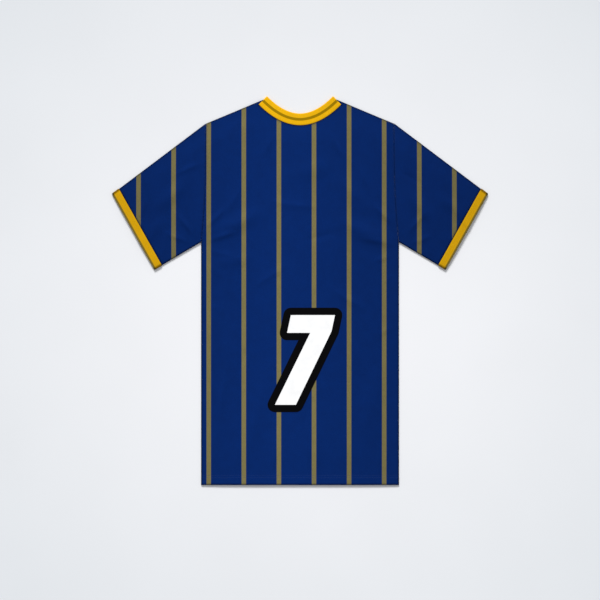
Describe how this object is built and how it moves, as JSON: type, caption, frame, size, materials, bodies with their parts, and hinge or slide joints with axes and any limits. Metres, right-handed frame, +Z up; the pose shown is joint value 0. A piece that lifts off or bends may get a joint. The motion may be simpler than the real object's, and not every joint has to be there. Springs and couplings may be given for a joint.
{
  "type": "football shirt",
  "caption": "Short-sleeved football shirt laid flat with its back upwards: striped jersey body and sleeves, rib collar folded at the neck points, rib cuffs.",
  "frame": {"origin": "on the table, under the middle of the shirt's box", "axes": "+Z up out of the table, +Y towards the neck along the body's length, +X across the shirt to the right as seen from above"},
  "size_m": [0.7736, 0.7997, 0.0081],
  "materials": {
    "jersey": "navy polyester jersey with narrow olive-gold stripes, soft sheen",
    "rib": "golden yellow rib knit, matt"
  },
  "bodies": {
    "root": {"front_panel": "jersey", "back_panel": "jersey", "sleeve_left": "jersey", "sleeve_right": "jersey", "cuff_left": "rib", "cuff_right": "rib", "collar": "rib"}
  },
  "joints": []
}
